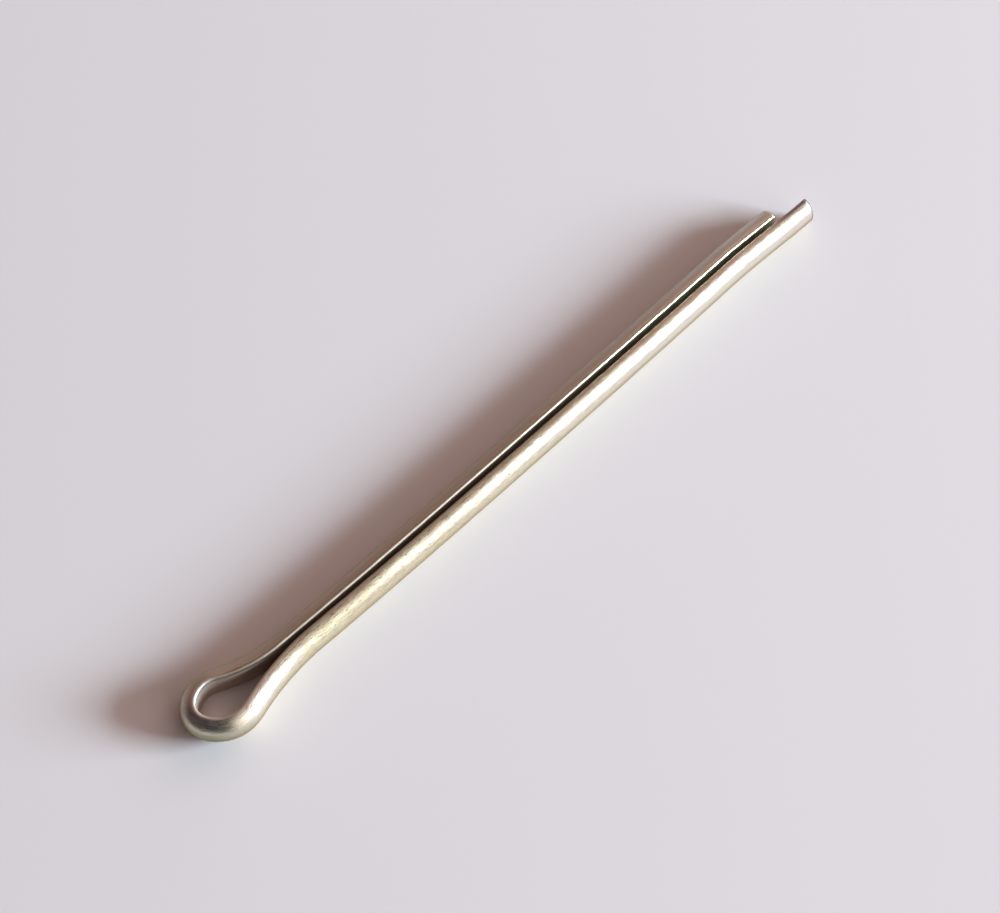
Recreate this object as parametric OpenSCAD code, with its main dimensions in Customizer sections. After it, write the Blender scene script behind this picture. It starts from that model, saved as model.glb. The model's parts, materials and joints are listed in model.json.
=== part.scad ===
// Cotter pin: one length of half-round wire, folded back on itself so that its flat
// faces meet, with an eye at the fold and a longer leg on the near side.
// The origin lies on the shank's axis where the long leg becomes straight. +X runs to
// the tips, the short leg is on the +Y side, and the pin lies flat across Z.

/* [Shank] */
// Diameter of the circle that the round backs of both legs lie on
shank_d = 4.5; // [3.4:0.1:8]
// Clear gap between the flats of the two legs
leg_gap = 0.45; // [0.1:0.05:1]
// Length of the short leg past the origin
short_leg_l = 73; // [15:1:140]
// How far the long leg stands out past the short one
leg_lead = 4.2; // [0.5:0.1:12]

/* [Wire] */
// Radius of the two rolled corners between the flat and the round back
corner_r = 0.35; // [0.1:0.05:0.6]
// Bevel that the shear leaves round the back of each cut end
cut_bevel = 0.3; // [0.1:0.05:0.8]

/* [Eye] */
// Radius of the long easy bend that leads the long leg out into the eye
long_neck_r = 34; // [20:1:60]
// Angle of that bend
long_neck_angle = 18.4; // [12:0.2:24]
// Radius of the flat along the cheek of the eye, on the long leg's side
cheek_r = 3.4; // [2.6:0.1:5]
// Radius of the flat at the tight end of the eye
end_r = 1.55; // [1:0.05:2.6]
// Angle of the tight end
end_angle = 76; // [50:1:95]
// Radius of the flat over the shoulder of the eye, on the short leg's side
shoulder_r = 2.8; // [2.4:0.1:4.5]
// Angle of the shoulder
shoulder_angle = 67; // [45:1:80]
// Angle at which the shoulder runs down into the short leg's neck
short_neck_angle = 26.6; // [24:0.2:38]

/* [Hidden] */
$fn = 48;

// The wire's section: a slice of the shank's circle, less half the gap.
back_r = shank_d / 2;
flat_y = leg_gap / 2;
corner_x = flat_y + corner_r;
corner_z = sqrt(pow(back_r - corner_r, 2) - pow(corner_x, 2));
corner_ray = atan2(corner_z, corner_x);

// A length that reaches well past the shank, and the step that places are rounded to
// before their last decimals are added.
beyond = 2 * back_r;
coarse_step = 0.01;

// Bends are [radius of the flat, angle], and straights are [length, 0]. A left turn,
// with a positive angle, keeps the round back on the inside of the bend.
cheek_angle = 180 + long_neck_angle + short_neck_angle - end_angle - shoulder_angle;
long_leg = [short_leg_l + leg_lead, 0];
eye_bends = [
    [long_neck_r, long_neck_angle],
    [cheek_r, -cheek_angle],
    [end_r, -end_angle],
    [shoulder_r, -shoulder_angle]
];
start_pose = [long_leg.x, -flat_y, 180];
eye_pose = last_pose(start_pose, concat([long_leg], eye_bends));

// The short leg's neck brings the wire back to its own side of the gap, and its leg
// then ends the lead short of the long one.
short_neck_r = (eye_pose.y - flat_y) / (1 - cos(short_neck_angle));
short_neck = [short_neck_r, short_neck_angle];
short_leg = [short_leg_l - next_pose(eye_pose, short_neck).x, 0];
wire_run = concat([long_leg], eye_bends, [short_neck, short_leg]);

// A pose is [x, y, heading] of the flat, and this is the pose at the end of one run.
function next_pose(pose, run) =
    run.y == 0
        ? [pose.x + run.x * cos(pose.z), pose.y + run.x * sin(pose.z), pose.z]
        : let (side = sign(run.y), heading = pose.z + run.y)
            [
                pose.x + side * run.x * (sin(heading) - sin(pose.z)),
                pose.y - side * run.x * (cos(heading) - cos(pose.z)),
                heading
            ];

function last_pose(pose, runs, i = 0) =
    i == len(runs) ? pose : last_pose(next_pose(pose, runs[i]), runs, i + 1);

// Half-round section with its flat on the Y axis and its back towards +X.
module half_round() {
    translate([-flat_y, 0]) {
        intersection() {
            circle(back_r);
            polygon([
                [flat_y, -corner_z],
                [corner_x, -corner_z],
                beyond * [cos(corner_ray), -sin(corner_ray)],
                [2 * beyond, 0],
                beyond * [cos(corner_ray), sin(corner_ray)],
                [corner_x, corner_z],
                [flat_y, corner_z]
            ]);
        }
        for (side = [-1, 1])
            translate([corner_x, side * corner_z])
                circle(corner_r);
    }
}

// Moves its children in a coarse step and a fine one, which keeps the last decimals of
// a worked-out place, so that neighbouring runs of the wire meet face to face.
module exactly(place) {
    coarse = [for (along = place) round(along / coarse_step) * coarse_step];
    translate(coarse) translate(place - coarse) children();
}

// One run of the wire from a pose, with its round back on the left of the way it runs.
module wire(pose, run) {
    side = sign(run.y);
    centre = [pose.x - side * run.x * sin(pose.z), pose.y + side * run.x * cos(pose.z), 0];
    if (side == 0)
        exactly([pose.x, pose.y, 0]) rotate([90, 0, pose.z + 90])
            linear_extrude(run.x) half_round();
    else
        exactly(centre) rotate_extrude(angle = run.y, start = pose.z - 90 * side)
            exactly([run.x, 0]) rotate(side > 0 ? 180 : 0) half_round();
}

// Ring about the shank's axis that bevels the back of a leg which ends at tip_x.
module shear_bevel(tip_x) {
    translate([tip_x, 0, 0]) rotate([0, 90, 0])
        rotate_extrude()
            polygon([
                [back_r - cut_bevel, 0],
                [back_r + cut_bevel, -2 * cut_bevel],
                [back_r + cut_bevel, 0]
            ]);
}

module cotter_pin() {
    color([0.86, 0.83, 0.72])
        difference() {
            union()
                for (i = [0 : len(wire_run) - 1])
                    wire(last_pose(start_pose, [for (k = [0 : 1 : i - 1]) wire_run[k]]), wire_run[i]);
            shear_bevel(long_leg.x);
            intersection() {
                shear_bevel(short_leg_l);
                translate([short_leg_l - beyond, 0, -beyond]) cube([2 * beyond, beyond, 2 * beyond]);
            }
        }
}

cotter_pin();
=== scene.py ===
import json
import math

import bpy
import numpy as np
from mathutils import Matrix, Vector


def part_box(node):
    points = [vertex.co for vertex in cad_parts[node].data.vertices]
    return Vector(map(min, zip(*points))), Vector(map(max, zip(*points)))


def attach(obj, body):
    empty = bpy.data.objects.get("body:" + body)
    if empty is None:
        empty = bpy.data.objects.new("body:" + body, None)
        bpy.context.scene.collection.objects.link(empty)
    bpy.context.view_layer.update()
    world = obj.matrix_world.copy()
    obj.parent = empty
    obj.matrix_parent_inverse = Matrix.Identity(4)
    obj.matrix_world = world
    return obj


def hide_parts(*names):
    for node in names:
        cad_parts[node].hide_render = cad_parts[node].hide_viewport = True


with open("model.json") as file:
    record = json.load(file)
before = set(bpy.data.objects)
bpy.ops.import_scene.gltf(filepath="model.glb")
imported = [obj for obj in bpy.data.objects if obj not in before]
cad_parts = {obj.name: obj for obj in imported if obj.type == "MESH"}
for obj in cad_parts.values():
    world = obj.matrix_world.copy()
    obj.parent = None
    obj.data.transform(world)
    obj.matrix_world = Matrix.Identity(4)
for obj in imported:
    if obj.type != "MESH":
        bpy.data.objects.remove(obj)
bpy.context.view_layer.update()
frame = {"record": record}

# ---------------------------------------------------------------------------------------
# The pin: one length of half-round mild steel wire, drawn through a die, folded flat to
# flat over a former that shapes the eye, and sheared off to two unequal legs. It was
# zinc plated after bending and passivated to a pale, faintly green and pink yellow.
# ---------------------------------------------------------------------------------------
MM = 0.001
low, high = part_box("cotter_pin")
back_r = frame["record"]["mounts"][0]["dims"]["r_mm"]
tip_x = high.x / MM
leg_lead = 4.2
short_tip_x = tip_x - leg_lead
half_gap = 0.225
corner_r = 0.35

# The bends from the long leg round the eye, as (radius of the flat, angle). A negative
# angle turns right, with the wire's flat on the inside.
long_neck = (34, 18.4)
cheek = (3.4, -82)
tight_end = (1.55, -76)
shoulder = (2.8, -67)
short_neck_angle = 26.6

# How finely the wire is meshed: the length of one ring and the fewest in a run, and the
# steps over the round back, round a rolled corner and over the flat.
ring_step = 0.25
least_rings = 8
back_steps = 45
corner_steps = 10
flat_steps = 8


def along(pose, size, angle):
    """The pose (x, y, heading) after a bend of this radius, or a straight of this length."""
    x, y, heading = pose
    if angle == 0:
        return x + size * math.cos(heading), y + size * math.sin(heading), heading
    side = math.copysign(1, angle)
    end = heading + math.radians(angle)
    return (
        x + side * size * (math.sin(end) - math.sin(heading)),
        y - side * size * (math.cos(end) - math.cos(heading)),
        end,
    )


def wire_line():
    """Poses of the flat along the whole wire, and how far along it each one lies."""
    start = (tip_x, -half_gap, math.pi)
    runs = [(tip_x, 0), long_neck, cheek, tight_end, shoulder]
    pose = start
    for size, angle in runs:
        pose = along(pose, size, angle)

    # The short neck brings the wire back to its own side of the gap, and its leg follows.
    drop = pose[1] - half_gap
    short_neck = (drop / (1 - math.cos(math.radians(short_neck_angle))), short_neck_angle)
    runs.append(short_neck)
    runs.append((short_tip_x - along(pose, *short_neck)[0], 0))

    poses, distances = [], []
    pose, total = start, 0.0
    for size, angle in runs:
        length = size * abs(math.radians(angle)) if angle else size
        count = max(least_rings, round(length / ring_step))
        for k in range(count):
            share = k / count
            if k == 0:
                poses.append(pose)
            elif angle:
                poses.append(along(pose, size, angle * share))
            else:
                poses.append(along(pose, size * share, 0))
            distances.append(total + length * share)
        pose = along(pose, size, angle)
        total += length
    poses.append(pose)
    distances.append(total)
    return np.array(poses), np.array(distances)


def half_round():
    """Outline of the section, once round: how far out from the gap's middle, and up."""
    corner_y = half_gap + corner_r
    corner_z = math.sqrt((back_r - corner_r) ** 2 - corner_y**2)
    ray = math.atan2(corner_z, corner_y)
    points = []
    for a in np.linspace(ray, -ray, back_steps):
        points.append((back_r * math.cos(a), back_r * math.sin(a)))
    for a in np.linspace(-ray, -math.pi, corner_steps)[1:]:
        points.append((corner_y + corner_r * math.cos(a), -corner_z + corner_r * math.sin(a)))
    for z in np.linspace(-corner_z, corner_z, flat_steps)[1:-1]:
        points.append((half_gap, z))
    for a in np.linspace(math.pi, ray, corner_steps)[:-1]:
        points.append((corner_y + corner_r * math.cos(a), corner_z + corner_r * math.sin(a)))
    return np.array(points)


def smooth(low_end, high_end, value):
    """An easy step from 0 to 1 as the value goes from one end to the other."""
    share = np.clip((value - low_end) / (high_end - low_end), 0, 1)
    return share * share * (3 - 2 * share)


# What folding and handling left in the wire, in mm. The bow has three terms, and a tip
# bend is (how far over, from x, to x). The wire leans about a place in the eye, and the
# legs spread from where the necks end, which blends in over some mm on either side.
bow_2, bow_3, bow_4 = 5.0, 5.6, 2.67
tip_bends = ((0.46, 64, 76), (0.25, 71, 80))
lean_per_mm = 0.014
lean_about_x = -12
spread = 0.24
spread_blend = 4

# The twist of the legs, in degrees, and how many mm before the shank it starts.
twist_at_shank = -0.9
twist_to_tips = 4.2
twist_blend = 8


def set_by_hand(points, leg_side):
    """The points, in mm, with the wire's small bow, lean, spread and twist."""
    x = points[..., 0]
    share = np.clip(x, 0, None) / tip_x
    bow = bow_2 * share**2 - bow_3 * share**3 + bow_4 * share**4
    for over, start, end in tip_bends:
        bow -= over * smooth(start, end, x)
    lean = -lean_per_mm * (x - lean_about_x)
    apart = leg_side * spread * share * (1 - share)
    twist = np.radians((twist_to_tips * share + twist_at_shank) * smooth(-twist_blend, 0, x))
    y = points[..., 1] * np.cos(twist) - points[..., 2] * np.sin(twist)
    z = points[..., 1] * np.sin(twist) + points[..., 2] * np.cos(twist)
    return np.stack([x, y + bow + lean + apart, z], -1)


# Marks of the die, as (seed, height, length along the wire, length round it), in mm, and
# how many waves are added up to make each kind.
broad_marks = (7, 0.003, 6.0, 1.6)
fine_marks = (11, 0.002, 1.2, 0.7)
waves = 60


def die_marks(distance, turn, seed, height, long_wave, short_wave):
    """Shallow waves in the surface, longer along the wire than across it."""
    rng = np.random.default_rng(seed)
    total = np.zeros(np.broadcast(distance, turn).shape)
    for _ in range(waves):
        k_along = rng.normal(0, 2 * math.pi / long_wave)
        k_round = rng.normal(0, 2 * math.pi / short_wave)
        total += np.sin(k_along * distance + k_round * turn + rng.uniform(0, 2 * math.pi))
    return height * total / math.sqrt(waves / 2)


# The shear rounds each end off towards the back of its leg, from this depth behind the
# gap's middle, and the last few mm of the leg lean back with it. The cut face has a low
# burr round it. Its rings are (share of the outline, how deep it lies).
square_depth = 1.45
setback_rate = 0.3
setback_reach = 3
cut_middle = 1.0
cut_rings = ((0.98, 0.05), (0.94, 0.02), (0.8, 0.02), (0.6, 0.01), (0.4, 0.0), (0.2, 0.0))

# Cut faces are told from the wire by their first surface coordinate, which starts here.
cut_face_at = 300


def end_setback(depth):
    """How far a sheared end lies short of its tip, at a depth behind the gap's middle."""
    return setback_rate * np.clip(depth - square_depth, 0, None) ** 2


def build_pin():
    """The whole wire as one mesh, with "wire" coordinates: mm along it and mm round it."""
    poses, distance = wire_line()
    section = half_round()
    rings, sides = len(poses), len(section)
    heading = poses[:, 2]
    left = np.stack([-np.sin(heading), np.cos(heading)], -1)
    base = poses[:, :2] - half_gap * left
    step = np.roll(section, -1, 0) - np.roll(section, 1, 0)
    normal = np.stack([-step[:, 1], step[:, 0]], -1) / np.linalg.norm(step, axis=1)[:, None]
    turn = np.concatenate([[0], np.cumsum(np.linalg.norm(np.diff(section, axis=0), axis=1))])

    wear = die_marks(distance[:, None], turn[None, :], *broad_marks)
    wear += die_marks(distance[:, None], turn[None, :], *fine_marks)
    out = section[None, :, 0] + normal[None, :, 0] * wear
    up = section[None, :, 1] + normal[None, :, 1] * wear
    x = base[:, None, 0] + out * left[:, None, 0]
    y = base[:, None, 1] + out * left[:, None, 1]
    body = np.stack([x, y, up], -1)

    # Each end is set back where it is rounded off, and the rings behind it follow.
    for tip, leg_heading in ((tip_x, math.pi), (short_tip_x, 0)):
        leg = np.isclose(heading, leg_heading)
        follow = np.clip((body[..., 0] - (tip - setback_reach)) / setback_reach, 0, 1)
        follow = follow * leg[:, None]
        body[..., 0] -= end_setback(np.abs(body[..., 1])) * follow

    # The legs spread apart, each to its own side, and the eye stays as it is.
    leg_side = np.where(np.arange(rings) < rings // 2, -1.0, 1.0)
    leg_side = (leg_side * smooth(-spread_blend, spread_blend, poses[:, 0]))[:, None]
    verts = list(set_by_hand(body, leg_side).reshape(-1, 3))
    faces, coords = [], []
    for i in range(rings - 1):
        for j in range(sides):
            k = (j + 1) % sides
            faces.append((i * sides + j, (i + 1) * sides + j, (i + 1) * sides + k, i * sides + k))
            end = turn[j] + (turn[1] if k == 0 else turn[k] - turn[j])
            near, far = distance[i], distance[i + 1]
            coords += [(near, turn[j]), (far, turn[j]), (far, end), (near, end)]

    # The cut faces: rings that close in on a point in the middle.
    for ring, tip, side in ((0, tip_x, -1), (rings - 1, short_tip_x, 1)):
        edge = [ring * sides + j for j in range(sides)]
        middle = np.array([side * cut_middle, 0.0])
        outline = body[ring, :, 1:3]
        for share, depth in cut_rings:
            across = middle + (outline - middle) * share
            reach = tip - end_setback(np.abs(across[:, 0])) - depth
            points = np.concatenate([reach[:, None], across], 1)
            first = len(verts)
            verts += list(set_by_hand(points, np.full(sides, float(side))))
            inner = [first + j for j in range(sides)]
            for j in range(sides):
                k = (j + 1) % sides
                loop = (edge[j], edge[k], inner[k], inner[j])
                faces.append(loop if side < 0 else loop[::-1])
                coords += [(points[j, 1] + cut_face_at, points[j, 2])] * 4
            edge = inner
        hub = set_by_hand(np.array([[tip, middle[0], 0.0]]), np.array([float(side)]))[0]
        verts.append(hub)
        for j in range(sides):
            k = (j + 1) % sides
            loop = (edge[j], edge[k], len(verts) - 1)
            faces.append(loop if side < 0 else loop[::-1])
            coords += [(cut_face_at, 0)] * 3
    verts = np.array(verts) * MM

    # The wire stays inside the box of the solid that it stands for, with a little room.
    fill = 0.9995
    for axis in range(3):
        room = (low[axis], high[axis])
        least, most = verts[:, axis].min(), verts[:, axis].max()
        size = min(1.0, fill * (room[1] - room[0]) / (most - least))
        verts[:, axis] = (verts[:, axis] - (least + most) / 2) * size + (least + most) / 2
        least, most = verts[:, axis].min(), verts[:, axis].max()
        verts[:, axis] += max(0, room[0] - least) - max(0, most - room[1])

    mesh = bpy.data.meshes.new("pin_wire")
    mesh.from_pydata(verts.tolist(), [], faces)
    layer = mesh.uv_layers.new(name="wire")
    layer.data.foreach_set("uv", np.array(coords, np.float32).ravel())
    mesh.shade_smooth()
    mesh.update()
    pin = bpy.data.objects.new("pin_wire", mesh)
    bpy.context.scene.collection.objects.link(pin)
    return pin


pin = build_pin()


def plated_wire():
    """Zinc plate with a pale yellow passivate, over drawn steel."""
    material = bpy.data.materials.new("plated_wire")
    material.use_nodes = True
    tree = material.node_tree
    nodes, links = tree.nodes, tree.links
    shader = nodes["Principled BSDF"]
    grazing_straw = (0.72, 0.62, 0.50, 1)
    shader.inputs["Metallic"].default_value = 1.0
    shader.inputs["Specular Tint"].default_value = grazing_straw

    # Places on the wire, in mm: along it from the long tip, and round its section from the
    # top of the back down to the lower corner, up the flat and over the upper corner.
    wire = nodes.new("ShaderNodeUVMap")
    wire.uv_map = "wire"
    places = nodes.new("ShaderNodeSeparateXYZ")
    links.new(wire.outputs["UV"], places.inputs["Vector"])
    lengthways, round_it = places.outputs["X"], places.outputs["Y"]

    def feed(socket, value):
        """Sets a node's input to a number or a colour, or links it to another node."""
        if isinstance(value, bpy.types.NodeSocket):
            links.new(value, socket)
        elif isinstance(value, tuple):
            socket.default_value = (*value, 1)
        else:
            socket.default_value = value

    def stretched(scale_along, scale_round):
        """Coordinates for a pattern that is drawn out along the wire."""
        place = nodes.new("ShaderNodeMapping")
        place.inputs["Scale"].default_value = (scale_along, scale_round, 1)
        links.new(wire.outputs["UV"], place.inputs["Vector"])
        return place.outputs["Vector"]

    def noise(vector, detail, rough=0.55):
        """A cloudy pattern, mostly from 0.3 to 0.7."""
        texture = nodes.new("ShaderNodeTexNoise")
        texture.inputs["Scale"].default_value = 1.0
        texture.inputs["Detail"].default_value = detail
        texture.inputs["Roughness"].default_value = rough
        links.new(vector, texture.inputs["Vector"])
        return texture.outputs["Fac"]

    def ranged(value, start, end, least, most):
        """A value that goes from least to most as another goes from start to end."""
        node = nodes.new("ShaderNodeMapRange")
        feed(node.inputs["Value"], value)
        feed(node.inputs["From Min"], start)
        feed(node.inputs["From Max"], end)
        feed(node.inputs["To Min"], least)
        feed(node.inputs["To Max"], most)
        return node.outputs["Result"]

    def maths(operation, first, second=0.0):
        """A sum on a value, and on a second one where the sum takes two."""
        node = nodes.new("ShaderNodeMath")
        node.operation = operation
        feed(node.inputs[0], first)
        feed(node.inputs[1], second)
        return node.outputs[0]

    def both(first, second):
        """Where one mask and the other overlap."""
        return maths("MULTIPLY", first, second)

    def away_from(middle, place):
        """How far a place on the wire is from a middle, in mm."""
        return maths("ABSOLUTE", maths("SUBTRACT", place, middle))

    def within(full, none, middle, place, share=1):
        """A mask that is full out to one distance from a middle, and gone at another."""
        return ranged(away_from(middle, place), full, none, share, 0)

    def mixed(share, first, second):
        """The first colour where the share is 0, and the second where it is 1."""
        node = nodes.new("ShaderNodeMix")
        node.data_type = "RGBA"
        feed(node.inputs["Factor"], share)
        feed(node.inputs["A"], first)
        feed(node.inputs["B"], second)
        return node.outputs["Result"]

    def scaled(colour, share):
        """A colour made darker by a share."""
        node = nodes.new("ShaderNodeVectorMath")
        node.operation = "SCALE"
        links.new(colour, node.inputs[0])
        links.new(share, node.inputs["Scale"])
        return node.outputs["Vector"]

    # Parts of the wire's length: the eye and the legs near it, the fold at the far end of
    # the eye, the cheek on the long leg's side, the short leg's side, and the cut faces.
    eye_at, fold_at, cheek_at = 97.0, 94.5, 87.0
    near_eye = within(38, 74, eye_at, lengthways)
    fold = within(2.5, 6, fold_at, lengthways)
    cheek_side = within(2, 7.5, cheek_at, lengthways, share=0.85)
    past_fold = ranged(lengthways, 93, 96, 0, 1)
    cut_face = ranged(lengthways, cut_face_at - 10, cut_face_at - 5, 0, 1)

    # Parts of the section: the flat, the rolled corners, and the outer side and the lower
    # half of the back.
    flat_at, flank_at, under_at, upper_back_at, upper_corner_at = 8.1, 3.1, 3.9, 1.3, 10.3
    on_flat = within(1.6, 1.95, flat_at, round_it)
    off_flat = ranged(away_from(flat_at, round_it), 1.75, 1.95, 0, 1)
    on_corner = both(off_flat, within(2.5, 2.7, flat_at, round_it))
    low_flank = within(1.1, 1.8, flank_at, round_it, share=0.8)
    underside = within(1.0, 1.9, under_at, round_it)

    # The passivate film: a pale straw that is darker and yellower about the eye, pinkish on
    # the fold and palest on the cheek, and that drifts to pink and to green along the wire.
    pale_straw, dark_straw = (0.87, 0.83, 0.73), (0.64, 0.58, 0.45)
    film = mixed(near_eye, pale_straw, dark_straw)
    fold_pink, cheek_cream = (0.86, 0.76, 0.72), (0.92, 0.91, 0.81)
    film = mixed(fold, film, fold_pink)
    film = mixed(cheek_side, film, cheek_cream)
    pink = ranged(noise(stretched(0.13, 0.4), detail=3), 0.5, 0.68, 0, 0.6)
    green = ranged(noise(stretched(0.1, 0.5), detail=3), 0.5, 0.36, 0, 0.7)
    film_pink, film_green = (0.96, 0.83, 0.77), (0.84, 0.92, 0.66)
    film = mixed(pink, film, film_pink)
    film = mixed(green, film, film_green)

    # Drawing left dark streaks along the wire, which are deepest near the eye. Small pits
    # lie among them there, and are faintest round the eye's own bends.
    streaks = noise(stretched(0.6, 8.0), detail=5, rough=0.65)
    streak_share = ranged(streaks, 0.36, 0.56, ranged(near_eye, 0, 1, 0.94, 0.66), 1)
    film = scaled(film, streak_share)
    pits = ranged(noise(stretched(1.8, 6.5), detail=3, rough=0.6), 0.58, 0.63, 0, 0.85)
    bends_at = 92.0
    pits_left = ranged(away_from(bends_at, lengthways), 7, 12, 0.4, 1)
    pit_brown = (0.20, 0.15, 0.11)
    film = mixed(both(both(pits, near_eye), pits_left), film, pit_brown)

    # Painted light and shade low on the back. The lower flank, which faces the lit table, is
    # painted paler as a brighter reflection of it. The underside is painted a darker ochre as
    # shade under the wire, and the lower flank on the outside of the fold a dark dull green as
    # the shadowed table that it reflects.
    flank_light_white, flank_light_yellow = (1.0, 0.97, 0.88), (0.97, 0.90, 0.67)
    flank_light_cream = (0.98, 0.93, 0.82)
    painted_flank_light = mixed(cheek_side, mixed(near_eye, flank_light_white, flank_light_yellow), flank_light_cream)
    film = mixed(low_flank, film, painted_flank_light)
    under_shade_ochre, fold_shade_green = (0.67, 0.58, 0.38), (0.27, 0.29, 0.20)
    film = mixed(underside, film, under_shade_ochre)
    film = mixed(both(fold, low_flank), film, fold_shade_green)

    # The flat took no polish from the die, so it is rougher. Its colour is painted shade in the
    # gap and on the eye's inner walls: a dull brown near the eye and a darker grey-green along
    # the legs. The plate on the rolled corners is thin and dull, near the eye alone.
    gap_shade_grey_green, eye_wall_shade_brown = (0.84, 0.90, 0.78), (0.72, 0.62, 0.56)
    dull = mixed(near_eye, gap_shade_grey_green, eye_wall_shade_brown)
    film = mixed(on_flat, film, scaled(dull, ranged(streaks, 0.3, 0.6, 0.62, 0.9)))
    off_fold = ranged(away_from(fold_at, lengthways), 4, 8, 0, 1)
    dull_corner = both(both(on_corner, near_eye), off_fold)
    neck_olive, cheek_grey = (0.54, 0.51, 0.42), (0.76, 0.73, 0.65)
    short_leg_brown, fold_grey = (0.35, 0.30, 0.25), (0.52, 0.48, 0.45)
    before_fold = mixed(cheek_side, neck_olive, cheek_grey)
    film = mixed(dull_corner, film, mixed(past_fold, before_fold, short_leg_brown))
    folded_corner = both(on_corner, fold)
    film = mixed(folded_corner, film, fold_grey)

    # Painted shade: the upper half of the short leg's back, which faces the cast shadow, is
    # painted a dark brown that turns lighter and greyer towards its tip.
    # The long leg's upper corner is painted a dark purple at the tip as painted shade, and the
    # cut faces, where the plate is thinnest, are a dull grey.
    back_shade = within(1.1, 1.4, upper_back_at, round_it)
    back_shade = both(back_shade, ranged(lengthways, 92.5, 96.5, 0, 1))
    towards_tip = ranged(lengthways, 140, 178, 0, 1)
    back_shade_brown, back_shade_grey = (0.50, 0.45, 0.38), (0.66, 0.66, 0.62)
    film = mixed(back_shade, film, mixed(towards_tip, back_shade_brown, back_shade_grey))
    at_long_tip = ranged(lengthways, 3, 7, 1, 0)
    tip_corner_shade = both(at_long_tip, within(0.5, 1.0, upper_corner_at, round_it))
    tip_shade_purple, cut_grey = (0.32, 0.28, 0.36), (0.30, 0.29, 0.31)
    film = mixed(tip_corner_shade, film, tip_shade_purple)
    film = mixed(cut_face, film, cut_grey)
    links.new(film, shader.inputs["Base Color"])

    # The drawn back has a satin shine. It is rougher, by these amounts, on the flat, near
    # the eye, on the short leg's back where shade is painted, on the corners near the eye and
    # on the cut faces.
    rough = ranged(noise(stretched(0.8, 5.0), detail=5), 0.3, 0.7, 0.16, 0.27)
    for part, added in (
        (on_flat, 0.35),
        (near_eye, 0.07),
        (back_shade, 0.25),
        (dull_corner, 0.15),
        (folded_corner, 0.22),
        (cut_face, 0.3),
    ):
        rough = maths("ADD", rough, ranged(part, 0, 1, 0, added))
    links.new(rough, shader.inputs["Roughness"])

    # Fine drawing lines, at most about 0.02 mm deep.
    line_depth = 0.02 * MM
    lines = noise(stretched(1.0, 9.0), detail=6, rough=0.62)
    bump = nodes.new("ShaderNodeBump")
    bump.inputs["Strength"].default_value = 0.8
    bump.inputs["Distance"].default_value = line_depth
    links.new(lines, bump.inputs["Height"])
    links.new(bump.outputs["Normal"], shader.inputs["Normal"])
    return material


pin.data.materials.append(plated_wire())
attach(pin, "root")
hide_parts("cotter_pin")

# ---------------------------------------------------------------------------------------
# The table: a plain board that the pin lies on, painted a pale lilac grey. The paint is
# dead matt, so it shows the lamps as even light and never as a shine.
# ---------------------------------------------------------------------------------------
table_size = 6
pale_lilac = (0.712, 0.69, 0.728, 1)
bpy.ops.mesh.primitive_plane_add(size=table_size, location=(0, 0, low.z))
table = bpy.context.object
table.name = "table"
paint = bpy.data.materials.new("pale_board")
paint.use_nodes = True
board = paint.node_tree.nodes["Principled BSDF"]
board.inputs["Base Color"].default_value = pale_lilac
board.inputs["Roughness"].default_value = 0.9
board.inputs["Specular IOR Level"].default_value = 0.0
table.data.materials.append(paint)

# ---------------------------------------------------------------------------------------
# The camera: it looks steeply down at the pin from the long leg's side, a bit more than a
# quarter of a metre away, with the eye at lower left and the tips at upper right.
# ---------------------------------------------------------------------------------------
turn = math.radians(43.57)
height = math.radians(64.73)
reach = 268.2 * MM
sensor_w = 36
lens_length = 86.4

# It is aimed a little off the middle of the pin, towards the eye and the short leg.
to_eye, to_short_leg = 0.92 * MM, 0.83 * MM
aim = Vector(((low.x + high.x) / 2 - to_eye, to_short_leg, 0))
right_hand = Vector((math.cos(turn), -math.sin(turn), 0))
towards = Vector((-math.sin(turn), -math.cos(turn), 0))
back = towards * math.cos(height) + Vector((0, 0, math.sin(height)))

lens = bpy.data.cameras.new("camera")
lens.sensor_width = sensor_w
lens.lens = lens_length
lens.clip_start, lens.clip_end = 0.01, 20
camera = bpy.data.objects.new("camera", lens)
camera.location = aim + back * reach
camera.rotation_euler = back.to_track_quat("Z", "Y").to_euler()
bpy.context.scene.collection.objects.link(camera)
bpy.context.scene.camera = camera

# ---------------------------------------------------------------------------------------
# The light: a small bright softbox low on the right, a pale wall on its near side, a warm
# card on its far side, and a dim warm room that is darkest low on the near left.
# ---------------------------------------------------------------------------------------
room_warm = (0.34, 0.205, 0.165, 1)
room_dark = (0.05, 0.04, 0.04, 1)
near_share, left_share, level_share, up_share = 0.77, 0.64, 0.88, 0.47
darkest = (towards * near_share - right_hand * left_share) * level_share
darkest += Vector((0, 0, up_share))

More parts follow.
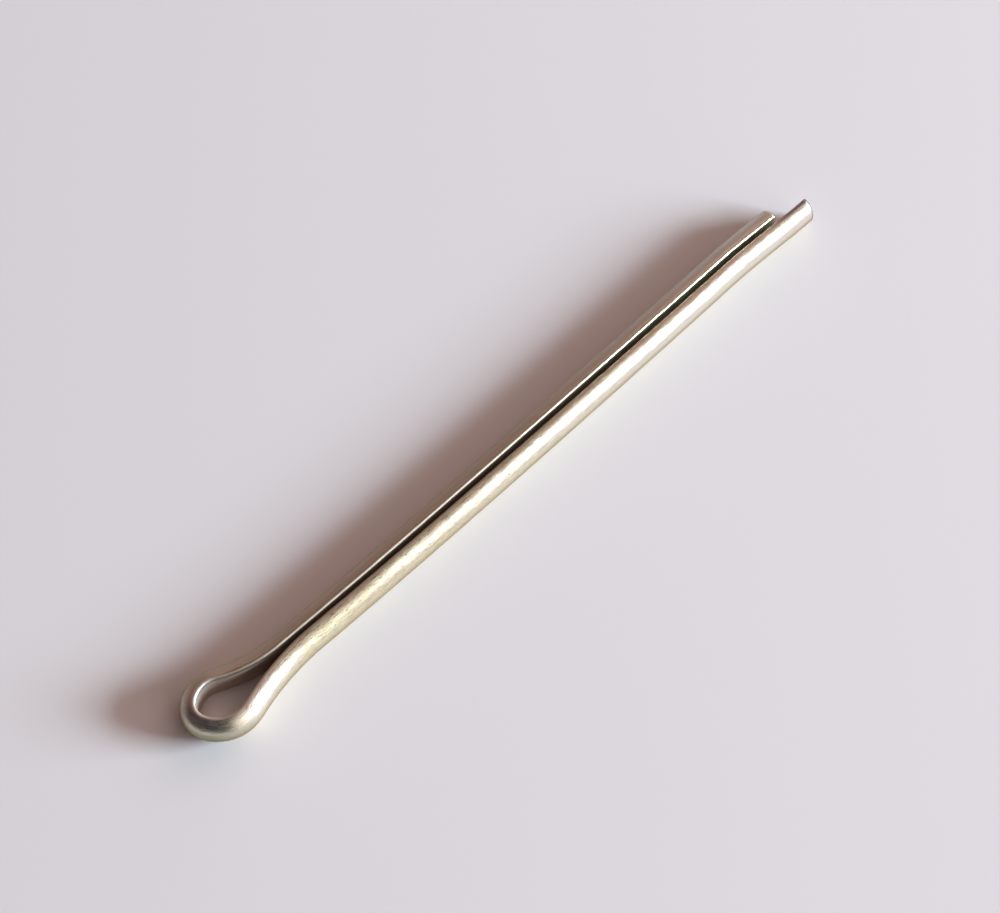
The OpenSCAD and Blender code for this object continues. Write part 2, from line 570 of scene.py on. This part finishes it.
world = bpy.data.worlds.new("room")
bpy.context.scene.world = world
world.use_nodes = True
room = world.node_tree.nodes
toward_sky = room.new("ShaderNodeTexCoord")
facing = room.new("ShaderNodeVectorMath")
facing.operation = "DOT_PRODUCT"
facing.inputs[1].default_value = darkest
dimming = room.new("ShaderNodeMapRange")
dimming.interpolation_type = "SMOOTHSTEP"
dimming.inputs["From Min"].default_value = 0.15
dimming.inputs["From Max"].default_value = 0.75
shades = room.new("ShaderNodeMix")
shades.data_type = "RGBA"
shades.inputs["A"].default_value = room_warm
shades.inputs["B"].default_value = room_dark
room_links = world.node_tree.links
room_links.new(toward_sky.outputs["Generated"], facing.inputs[0])
room_links.new(facing.outputs["Value"], dimming.inputs["Value"])
room_links.new(dimming.outputs["Result"], shades.inputs["Factor"])
room_links.new(shades.outputs["Result"], room["Background"].inputs["Color"])


def soft_lamp(name, sideways, upwards, away, radiance):
    """A flat lamp that fills these angles as seen from the pin, so many metres away.

    The angles are in degrees, (from, to): sideways from the right hand towards the camera,
    and upwards from the table.
    """
    side, wide = math.radians(sum(sideways) / 2), math.radians(sideways[1] - sideways[0])
    rise, tall = math.radians(sum(upwards) / 2), math.radians(upwards[1] - upwards[0])
    toward = (right_hand * math.cos(side) + towards * math.sin(side)) * math.cos(rise)
    toward += Vector((0, 0, math.sin(rise)))
    lamp = bpy.data.lights.new(name, "AREA")
    lamp.shape = "RECTANGLE"
    lamp.size = 2 * away * math.tan(wide / 2) * math.cos(rise)
    lamp.size_y = 2 * away * math.tan(tall / 2)
    brightest = max(radiance)
    lamp.color = [c / brightest for c in radiance]
    lamp.energy = math.pi * lamp.size * lamp.size_y * brightest
    holder = bpy.data.objects.new(name, lamp)
    holder.location = aim + toward * away
    holder.rotation_euler = toward.to_track_quat("Z", "Y").to_euler()
    bpy.context.scene.collection.objects.link(holder)


soft_lamp("softbox", (-10, 16), (9, 27), 1.9, (41.4, 49, 52.6))
soft_lamp("wall", (16, 62), (0, 46), 1.3, (1.02, 0.97, 0.88))
soft_lamp("upper wall", (16, 62), (46, 64), 1.3, (0.5, 0.46, 0.42))
soft_lamp("card", (-85, -25), (6, 50), 1.3, (1.5, 1.17, 1.02))

bpy.context.scene.view_settings.view_transform = "Standard"
